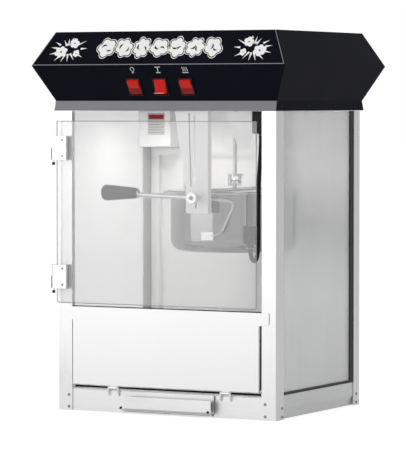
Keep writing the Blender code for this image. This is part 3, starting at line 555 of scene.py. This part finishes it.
def make_burst(label, side):
    """Three popped kernels flying out of a jagged ring of rays."""
    place = sign_matrix(0.1745 * side, 0.46)
    clusters = ((13.0, -4.0, 10.5, 6), (-10.0, 12.0, 8.5, 5), (-17.0, -7.0, 6.0, 5))
    for i, (dx, dy, size, lobes) in enumerate(clusters):
        outline = shifted(puff(size * MM, lobes, 0.7 * i + 0.4), side * dx * MM, dy * MM)
        eye = [(side * dx * MM + x, dy * MM + y) for x, y in arc((0, 0), 0.17 * size * MM, 0, 330, 11)]
        inlay(f"burst_kernel_{label}_{i}", [outline, eye], place, 0.25 * MM, "print", "cabinet")
    rays = ((82, 9, 22), (58, 9, 22), (104, 19, 24), (152, 14, 36), (176, 24, 36), (205, 20, 34),
            (232, 9, 25), (262, 8, 24), (292, 9, 26), (318, 17, 31), (346, 22, 36), (8, 22, 35),
            (28, 19, 31))
    for i, (angle, inner, outer) in enumerate(rays):
        a = math.radians(angle if side > 0 else 180 - angle)
        along = Vector((math.cos(a), math.sin(a)))
        across = Vector((-along.y, along.x))
        foot = along * inner * MM
        ray = [foot + across * 1.9 * MM, foot - across * 1.9 * MM, along * outer * MM]
        inlay(f"burst_ray_{label}_{i}", [[tuple(p) for p in ray]], place, 0.2 * MM, "print", "cabinet")
    ring = []
    for i in range(6):
        for radius, step in ((9.5, 0.0), (13.5, 0.5)):
            a = math.radians(60 + 17 * (i + step)) if side > 0 else math.radians(120 - 17 * (i + step))
            ring.append((radius * MM * math.cos(a), radius * MM * math.sin(a)))
    inner_ring = [(x * 0.80, y * 0.80) for x, y in reversed(ring)]
    inlay(f"burst_crown_{label}", [ring + inner_ring], place, 0.2 * MM, "print", "cabinet")


def make_sign_edge():
    """The sign plate's folded edge, a thin grey bead along its foot and up its ends, lighter than the plate
    as a painted highlight.
    """
    low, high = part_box("sign_plate")
    inset = 0.5 * MM
    foot_left = Vector((low.x + inset, low.y, low.z - 0.1 * MM))
    foot_right = Vector((high.x - inset, low.y, low.z - 0.1 * MM))
    top_y = high.y - THICK_SIGN
    top_half = high.x - 0.0300
    top_right = Vector((top_half, top_y, high.z))
    top_left = Vector((-top_half, top_y, high.z))
    foot = tube_mesh("sign_edge_foot", [foot_left, foot_right], 0.75 * MM)
    piece("sign_edge_foot", foot, "edge", "cabinet")
    for name, a, b in (("sign_edge_right", foot_right, top_right), ("sign_edge_left", foot_left, top_left)):
        piece(name, tube_mesh(name, [a, b], 0.7 * MM), "edge", "cabinet")


def lower_panel(x, z):
    """A point on the canopy's front panel, which carries the switches."""
    low, foot = 0.524, -0.1635
    high, ridge = 0.583, -0.1935
    return Vector((x, foot + (ridge - foot) * (z - low) / (high - low), z))


def panel_matrix(x, z):
    return face_matrix(lower_panel(x, z), (1, 0, 0), lower_panel(0, 0.58) - lower_panel(0, 0.53))


def make_symbols():
    """Small printed signs over the switches: a lamp, a stirrer and heat."""
    z = 0.5752
    lamp = panel_matrix(-0.0465, z)
    bulb = [arc((0, 1.6 * MM), 3.9 * MM, -60, 240, 22), arc((0, 1.6 * MM), 2.8 * MM, -60, 240, 22)]
    print_symbol("lamp_bulb", [bulb[0] + bulb[1][::-1]], lamp)
    for i in range(3):
        low = (-3.2 - 1.3 * i) * MM
        print_symbol(f"lamp_base_{i}", [rounded(-1.9 * MM, 1.9 * MM, low, low + 0.8 * MM, 0.3 * MM)], lamp)
    stirrer = panel_matrix(0.0017, z)
    bars = (("top", -5.2, 5.2, 4.4, 5.8), ("shaft", -0.8, 0.8, -3.6, 4.0), ("blade", -4.2, 4.2, -5.8, -4.2))
    for name, left, right, low, high in bars:
        outline = rounded(left * MM, right * MM, low * MM, high * MM, 0.4 * MM)
        print_symbol("stirrer_" + name, [outline], stirrer)
    heat = panel_matrix(0.0526, z)
    steps = 12
    for i in range(3):
        middle = (i - 1) * 3.8 * MM
        wave = [(middle + 0.9 * MM * math.sin(math.tau * k / steps) - 0.6 * MM, (-2.8 + 8.0 * k / steps) * MM)
                for k in range(steps + 1)]
        back = [(x + 1.2 * MM, y) for x, y in reversed(wave)]
        print_symbol(f"heat_wave_{i}", [wave + back], heat)
    print_symbol("heat_base", [rounded(-5.6 * MM, 5.6 * MM, -5.8 * MM, -4.3 * MM, 0.4 * MM)], heat)


def print_symbol(name, outlines, place):
    inlay("symbol_" + name, outlines, place, 0.15 * MM, "faded_print", "cabinet")


def make_rocker_faces():
    """The outer rockers' lower halves in painted shade, and a painted highlight along the middle rocker's
    pale lower edge.
    """
    for name in ("light", "heat"):
        place, width, height = lower_half(nodes["rocker_" + name])
        outline = rounded(-width / 2, width / 2, -height / 2, height / 2, 0.5 * MM)
        # painted shade over the lower half of the rocker's face
        inlay("rocker_shade_" + name, [outline], place, 0.12 * MM, "painted_shade_red", name + "_switch")
    low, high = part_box("rocker_motor")
    out = face_matrix((0, low.y - 0.1 * MM, low.z + 1.4 * MM), (1, 0, 0), (0, 0, 1))
    edge = rounded(low.x + 1.2 * MM, high.x - 1.2 * MM, -0.7 * MM, 0.5 * MM, 0.3 * MM)
    # painted highlight along the middle rocker's lower edge
    inlay("rocker_motor_highlight", [edge], out, 0.2 * MM, "painted_highlight_red", "motor_switch")


def lower_half(rocker):
    """The plane, width and height of the rocker's front face below its middle."""
    place = rocker.matrix_world
    turn = place.to_3x3()
    box_low, box_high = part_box(rocker.name)
    fronts = [face for face in rocker.data.polygons if (turn @ face.normal).y < -0.5
              and (place @ face.center).z < (box_low.z + box_high.z) / 2]
    out = (turn @ max(fronts, key=lambda face: face.area).normal).normalized()
    flat = [face for face in fronts if (turn @ face.normal).normalized().dot(out) > 0.999]
    corners = [place @ rocker.data.vertices[i].co for face in flat for i in face.vertices]
    low = Vector([min(corner[i] for corner in corners) for i in range(3)])
    high = Vector([max(corner[i] for corner in corners) for i in range(3)])
    up = out.cross(Vector((1, 0, 0)))
    margin = 1.2 * MM
    height = (high.z - low.z) / up.z - margin
    return face_matrix((low + high) / 2, (1, 0, 0), up), high.x - low.x - margin, height


# ---------------------------------------------------------------- door, hinges and flap
def make_hinge_pins():
    """The black cap on the lower end of each hinge's pin."""
    x, y = HINGE_AXIS
    cap = [(0, 0), (2.0 * MM, 0), (2.6 * MM, 0.6 * MM), (2.6 * MM, 4.6 * MM), (0, 4.6 * MM)]
    for level in ("upper", "lower"):
        low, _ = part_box("hinge_bracket_" + level)
        turned("hinge_pin_cap_" + level, cap, (x, y, low.z - 0.5 * MM), (0, 0, 1), "plastic", "cabinet", 20)


def make_post_return_shade():
    """Painted shade on the inner faces of the front posts' folded edges: a darker grey sheet laid on each
    lip.
    """
    for side, label in ((-1, "left"), (1, "right")):
        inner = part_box("post_front_" + label)
        x = side * (min(abs(inner[0].x), abs(inner[1].x)) - 0.02 * MM)
        place = face_matrix((x, -0.1551, 0.2755), (0, -side, 0), (0, 0, 1))
        outline = rounded(-4.2 * MM, 4.2 * MM, -0.2295, 0.2295, 0.5 * MM)
        # painted shade: the darker galvanised grey laid over the lip
        inlay("post_return_shade_" + label, [outline], place, 0.1 * MM, "galvanised", "cabinet")


def make_shadow_beads():
    """Black beads behind the gaps round the serving flap: painted shadow that makes the gaps read dark."""
    _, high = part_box("serving_flap")
    right = POST_INNER_X
    top = high.z + 1.0 * MM
    beads = {"side": [(right - 2.4 * MM, -0.1585, 0.050), (right - 2.4 * MM, -0.1585, 0.170)],
             "left": [(-right + 1.9 * MM, -0.1590, 0.045), (-right + 1.9 * MM, -0.1590, top)],
             "top": [(-right + 1.9 * MM, -0.1590, top), (right - 1.9 * MM, -0.1590, top)],
             "foot": [(-0.176, -0.1560, 0.0415), (0.176, -0.1560, 0.0415)]}
    for name, ends in beads.items():
        radius = 1.6 * MM if name in ("side", "foot") else 0.8 * MM
        piece("shadow_bead_" + name, tube_mesh("shadow_bead_" + name, ends, radius), "shadow", "cabinet")


def make_glass_edges():
    """The polished edges of the door's pane."""
    low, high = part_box("glass_door")
    middle_y = (low.y + high.y) / 2
    radius = (high.y - low.y) / 2 + 0.1 * MM
    corner = 2.0 * MM
    outline = rounded(low.x, high.x, low.z, high.z, corner, 4)
    points = [(x, middle_y, z) for x, z in outline]
    piece("door_glass_edge", tube_mesh("door_glass_edge", points, radius * 0.35, closed=True), "glass_edge",
          "door")


def make_hanger_shade():
    """A dark crescent on the front hanger, painted shade of a round boss's side, and a dark line painted as
    the shadow where its sheet is folded.
    """
    place = face_matrix((0, -0.1285, 0), (1, 0, 0), (0, 0, 1))
    centre = (0.0300, 0.3505)
    slot = arc(centre, 12.0 * MM, -27, 38, 14) + arc(centre, 10.2 * MM, 38, -27, 14)
    slit = [(0.0270, 0.5040), (0.0282, 0.5040), (0.0320, 0.3805), (0.0308, 0.3805)]
    # painted shade: a black crescent and a black line on the hanger's face
    inlay("hanger_crescent_shade", [slot], place, 0.2 * MM, "shadow", "cabinet")
    inlay("hanger_fold_shade", [slit], place, 0.2 * MM, "shadow", "cabinet")


def make_label():
    """A label with its text left out: a red bar and thin lines."""
    low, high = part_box("wiring_box")
    place = face_matrix(((low.x + high.x) / 2 + 4 * MM, low.y, 0.484), (1, 0, 0), (0, 0, 1))
    paper = rounded(-17 * MM, 17 * MM, -20 * MM, 19 * MM, 1.5 * MM)
    inlay("label_plate", [paper], place, 0.2 * MM, "label", "cabinet")
    raised = place @ Matrix.Translation((0, 0, 0.25 * MM))
    bar = rounded(-15 * MM, 15 * MM, 8 * MM, 16 * MM, 0.8 * MM)
    inlay("label_bar", [bar], raised, 0.1 * MM, "label_red", "cabinet")
    for i in range(5):
        top = (3.5 - 4.6 * i) * MM
        right = (14.5 - 4 * (i % 2)) * MM
        finish = "label_red" if i == 1 else "label_grey"
        line = rounded(-14.5 * MM, right, top - 1.1 * MM, top, 0.4 * MM)
        inlay(f"label_line_{i}", [line], raised, 0.1 * MM, finish, "cabinet")


def make_pull_caps():
    """Black rubber buttons at the lower corners of the tray's pull."""
    low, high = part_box("tray_pull")
    dome = [(0, 0), (2.3 * MM, 0), (2.3 * MM, 0.5 * MM), (1.7 * MM, 1.1 * MM), (0, 1.3 * MM)]
    for x, label in ((low.x + 5 * MM, "left"), (high.x - 5 * MM, "right")):
        turned("pull_button_" + label, dome, (x, low.y, low.z + 3.6 * MM), (0, -1, 0), "plastic", "tray", 20)


# ---------------------------------------------------------------- kettle
def make_grip():
    """The handle's tapered grip, with a rounded end and a ferrule."""
    low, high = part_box("handle_grip")
    y, z = (low.y + high.y) / 2, (low.z + high.z) / 2
    length = high.x - low.x
    big = (high.z - low.z) / 2
    small = big * 0.66
    profile = [(0, 0), (small * 0.62, 0), (small * 0.94, 0.6 * MM), (small, 2.0 * MM)]
    body_start, body_end = 2.0 * MM, length - 7.0 * MM
    for i in range(1, 13):
        share = i / 12
        profile.append((small + (big - small) * share ** 0.9, body_start + (body_end - body_start) * share))
    for i in range(1, 9):
        a = math.radians(90 * i / 8)
        profile.append((big * (0.32 + 0.68 * math.cos(a)), body_end + 7.0 * MM * math.sin(a)))
    profile.append((0, length))
    direction = (-1, 0, 0)
    grip = turned("grip", profile, (high.x, y, z), direction, "plastic", "kettle", 48)
    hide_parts("handle_grip")
    ferrule = [(4.2 * MM, 0), (5.0 * MM, 0.4 * MM), (5.0 * MM, 3.4 * MM), (4.2 * MM, 3.8 * MM)]
    turned("grip_ferrule", ferrule, (high.x + 3.9 * MM, y, z), direction, "polished", "kettle", 32)


def make_kettle_details():
    """The rolled bead on the pot's rim, and the weld bead round the shell."""
    low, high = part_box("kettle_pot")
    middle = ((low.x + high.x) / 2, (low.y + high.y) / 2)
    rim = circle(middle, (high.x - low.x) / 2 - 0.6 * MM, high.z - 1.7 * MM)
    piece("rim_bead", tube_mesh("rim_bead", rim, 1.9 * MM, closed=True), "polished", "kettle")
    shell_low, shell_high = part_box("kettle_shell")
    seam = circle(middle, (shell_high.x - shell_low.x) / 2 + 0.2 * MM, shell_low.z + 21 * MM)
    piece("shell_seam", tube_mesh("shell_seam", seam, 0.5 * MM, closed=True), "polished", "kettle")


def circle(middle, radius, height, count=96):
    return [(middle[0] + radius * math.cos(a), middle[1] + radius * math.sin(a), height)
            for a in (math.tau * i / count for i in range(count))]


def make_pivot_head(master):
    """The screw head on the front trunnion's pin."""
    place_screw(master, "screw_pivot", (AGITATOR_AXIS[0], -0.1540, PIVOT_Z), (0, -1, 0), "kettle")


def make_wing_nut():
    """Two round knobs on a bar over the stirrer's fork."""
    x, y = AGITATOR_AXIS
    z = 0.3885
    reach, knob_radius = 8.0 * MM, 3.4 * MM
    stem = [(0, -5.5 * MM), (2.2 * MM, -5.5 * MM), (2.2 * MM, 1.2 * MM), (1.6 * MM, 2.0 * MM), (0, 2.0 * MM)]
    turned("wing_stem", stem, (x, y, z), (0, 0, 1), "polished", "agitator", 20)
    bar = tube_mesh("wing_bar", [(x - reach, y, z), (x + reach, y, z)], 1.4 * MM)
    piece("wing_bar", bar, "polished", "agitator")
    knob = [(knob_radius * math.sin(a), -knob_radius * math.cos(a))
            for a in (math.pi * i / 12 for i in range(13))]
    for side, label in ((-1, "left"), (1, "right")):
        turned("wing_knob_" + label, knob, (x + side * reach, y, z), (0, 0, 1), "polished", "agitator", 24)


def make_plug():
    """Grip rings on the kettle's plug and on the receptacle's strain relief."""
    plug_x, plug_y = CORD_ROUTE[-1][:2]
    for i in range(4):
        profile = grip_ring((5.2 + 0.35 * i) * MM, 1.2 * MM, 0.5 * MM, 0.9 * MM)
        origin = (plug_x, plug_y, 0.2815 + 3.2 * MM * i)
        turned(f"plug_ring_{i}", profile, origin, (0, 0, 1), "plastic", "kettle", 28)
    relief_x, relief_y = CORD_ROUTE[0][:2]
    for i in range(3):
        profile = grip_ring((4.5 + 0.6 * i) * MM, 1.0 * MM, 0.3 * MM, 0.6 * MM)
        origin = (relief_x, relief_y, 0.4692 + 2.2 * MM * i)
        turned(f"relief_ring_{i}", profile, origin, (0, 0, 1), "plastic", "cabinet", 28)


def grip_ring(radius, depth, crown, half_height):
    """A closed (radius, height) profile whose outer side comes to a low ridge."""
    inner = radius - depth
    return [(inner, -half_height), (radius, -half_height), (radius + crown, 0), (radius, half_height),
            (inner, half_height), (inner, -half_height)]


# ---------------------------------------------------------------- cord
CORD_RADIUS = 0.00375
CORD_ROUTE = [
    (0.1480, -0.1000, 0.4676), (0.1480, -0.1000, 0.4560), (0.1478, -0.1010, 0.4400),
    (0.1474, -0.1038, 0.4150), (0.1470, -0.1066, 0.3850), (0.1468, -0.1082, 0.3550),
    (0.1468, -0.1088, 0.3250), (0.1468, -0.1086, 0.3000), (0.1462, -0.1078, 0.2830),
    (0.1443, -0.1060, 0.2700), (0.1405, -0.1030, 0.2615), (0.1350, -0.0990, 0.2583),
    (0.1295, -0.0948, 0.2602), (0.1252, -0.0908, 0.2662), (0.1229, -0.0882, 0.2722),
    (0.1225, -0.0875, 0.2774),
]


def smooth_route(route, steps=16):
    """A Catmull-Rom curve through the route's points."""
    points = [Vector(p) for p in route]
    padded = [2 * points[0] - points[1]] + points + [2 * points[-1] - points[-2]]
    dense = []
    for a, b, c, d in zip(padded, padded[1:], padded[2:], padded[3:]):
        for i in range(steps):
            t = i / steps
            dense.append(0.5 * (2 * b + (c - a) * t + (2 * a - 5 * b + 4 * c - d) * t ** 2
                                + (3 * b - a - 3 * c + d) * t ** 3))
    return dense + [points[-1]]


def make_cord():
    """The kettle's lead, from the receptacle down, round and up into the kettle's plug."""
    path = smooth_route(CORD_ROUTE, 8)
    mesh = tube_mesh("kettle_lead", path, CORD_RADIUS, resolution=5)
    lead = bpy.data.objects.new("kettle_lead", mesh)
    bpy.context.scene.collection.objects.link(lead)
    mesh.materials.append(FINISHES["cord"])
    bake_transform(lead)
    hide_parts("kettle_cord")


# ---------------------------------------------------------------- studio
def make_studio():
    """A white floor, a white sky and two soft lights."""
    scene = bpy.context.scene
    scene.view_settings.view_transform = "Standard"
    floor_mesh = bpy.data.meshes.new("floor")
    bm = bmesh.new()
    bmesh.ops.create_grid(bm, x_segments=1, y_segments=1, size=30.0)
    bm.to_mesh(floor_mesh)
    bm.free()
    floor = bpy.data.objects.new("floor", floor_mesh)
    floor.location.z = -0.0002
    scene.collection.objects.link(floor)
    floor_mesh.materials.append(glowing_white())
    scene.world = make_sky()
    for name, place, power, width, height in (
            ("key", (-1.80, -2.90, 0.80), 21.0, 3.2, 1.4),
            ("top", (0.2, 0.2, 2.6), 9.0, 2.2, 2.2)):
        lamp = bpy.data.lights.new(name, "AREA")
        lamp.shape = "RECTANGLE"
        lamp.energy = power
        lamp.size = width
        lamp.size_y = height
        obj = bpy.data.objects.new(name, lamp)
        obj.location = place
        obj.rotation_euler = (Vector((0, 0, 0.3)) - Vector(place)).to_track_quat("-Z", "Y").to_euler()
        scene.collection.objects.link(obj)


def glowing_white():
    """A lit white floor, which keeps a soft shadow under the machine and has no visible end."""
    material, tree, shader = shader_for("floor_white")
    drift = pattern(tree, (3, 3, 3), detail=1.0)
    tree.links.new(ramp(tree, drift, (0.49,) * 3, (0.51,) * 3), shader.inputs["Base Color"])
    shader.inputs["Roughness"].default_value = 0.9
    shader.inputs["Specular IOR Level"].default_value = 0.0
    shader.inputs["Emission Color"].default_value = (1.0, 1.0, 1.0, 1.0)
    seen = node(tree, "ShaderNodeLightPath")
    glow = ramp(tree, seen.outputs["Is Camera Ray"], 0.27, 0.72, 0.0, 1.0)
    tree.links.new(glow, shader.inputs["Emission Strength"])
    return material


def make_sky():
    """White behind the object. As light, the room is brighter at its front than at its back."""
    world = bpy.data.worlds.new("studio")
    world.use_nodes = True
    tree = world.node_tree
    background = tree.nodes["Background"]
    background.inputs["Strength"].default_value = 1.0
    place = tree.nodes.new("ShaderNodeTexCoord")
    axes = tree.nodes.new("ShaderNodeSeparateXYZ")
    tree.links.new(place.outputs["Generated"], axes.inputs["Vector"])
    light = ramp(tree, axes.outputs["Y"], (SKY_FRONT,) * 3, (SKY_BACK,) * 3, -0.9, 0.9)
    seen = node(tree, "ShaderNodeLightPath")
    mix = node(tree, "ShaderNodeMix", data_type="RGBA")
    sockets = [socket for socket in mix.inputs if socket.type == "RGBA"]
    tree.links.new(seen.outputs["Is Camera Ray"], mix.inputs["Factor"])
    tree.links.new(light, sockets[0])
    sockets[1].default_value = (1.0, 1.0, 1.0, 1.0)
    tree.links.new([socket for socket in mix.outputs if socket.type == "RGBA"][0], background.inputs["Color"])
    return world


make_camera()
FINISHES = make_finishes()
make_cord()
make_studio()
finish_nodes()
make_screws()
make_rivets()
make_sign()
make_sign_edge()
make_symbols()
make_rocker_faces()
make_glass_edges()
make_hinge_pins()
make_shadow_beads()
make_post_return_shade()
make_hanger_shade()
make_label()
make_pull_caps()
make_grip()
make_kettle_details()
make_pivot_head(screw_mesh(3.8 * MM))
make_wing_nut()
make_plug()
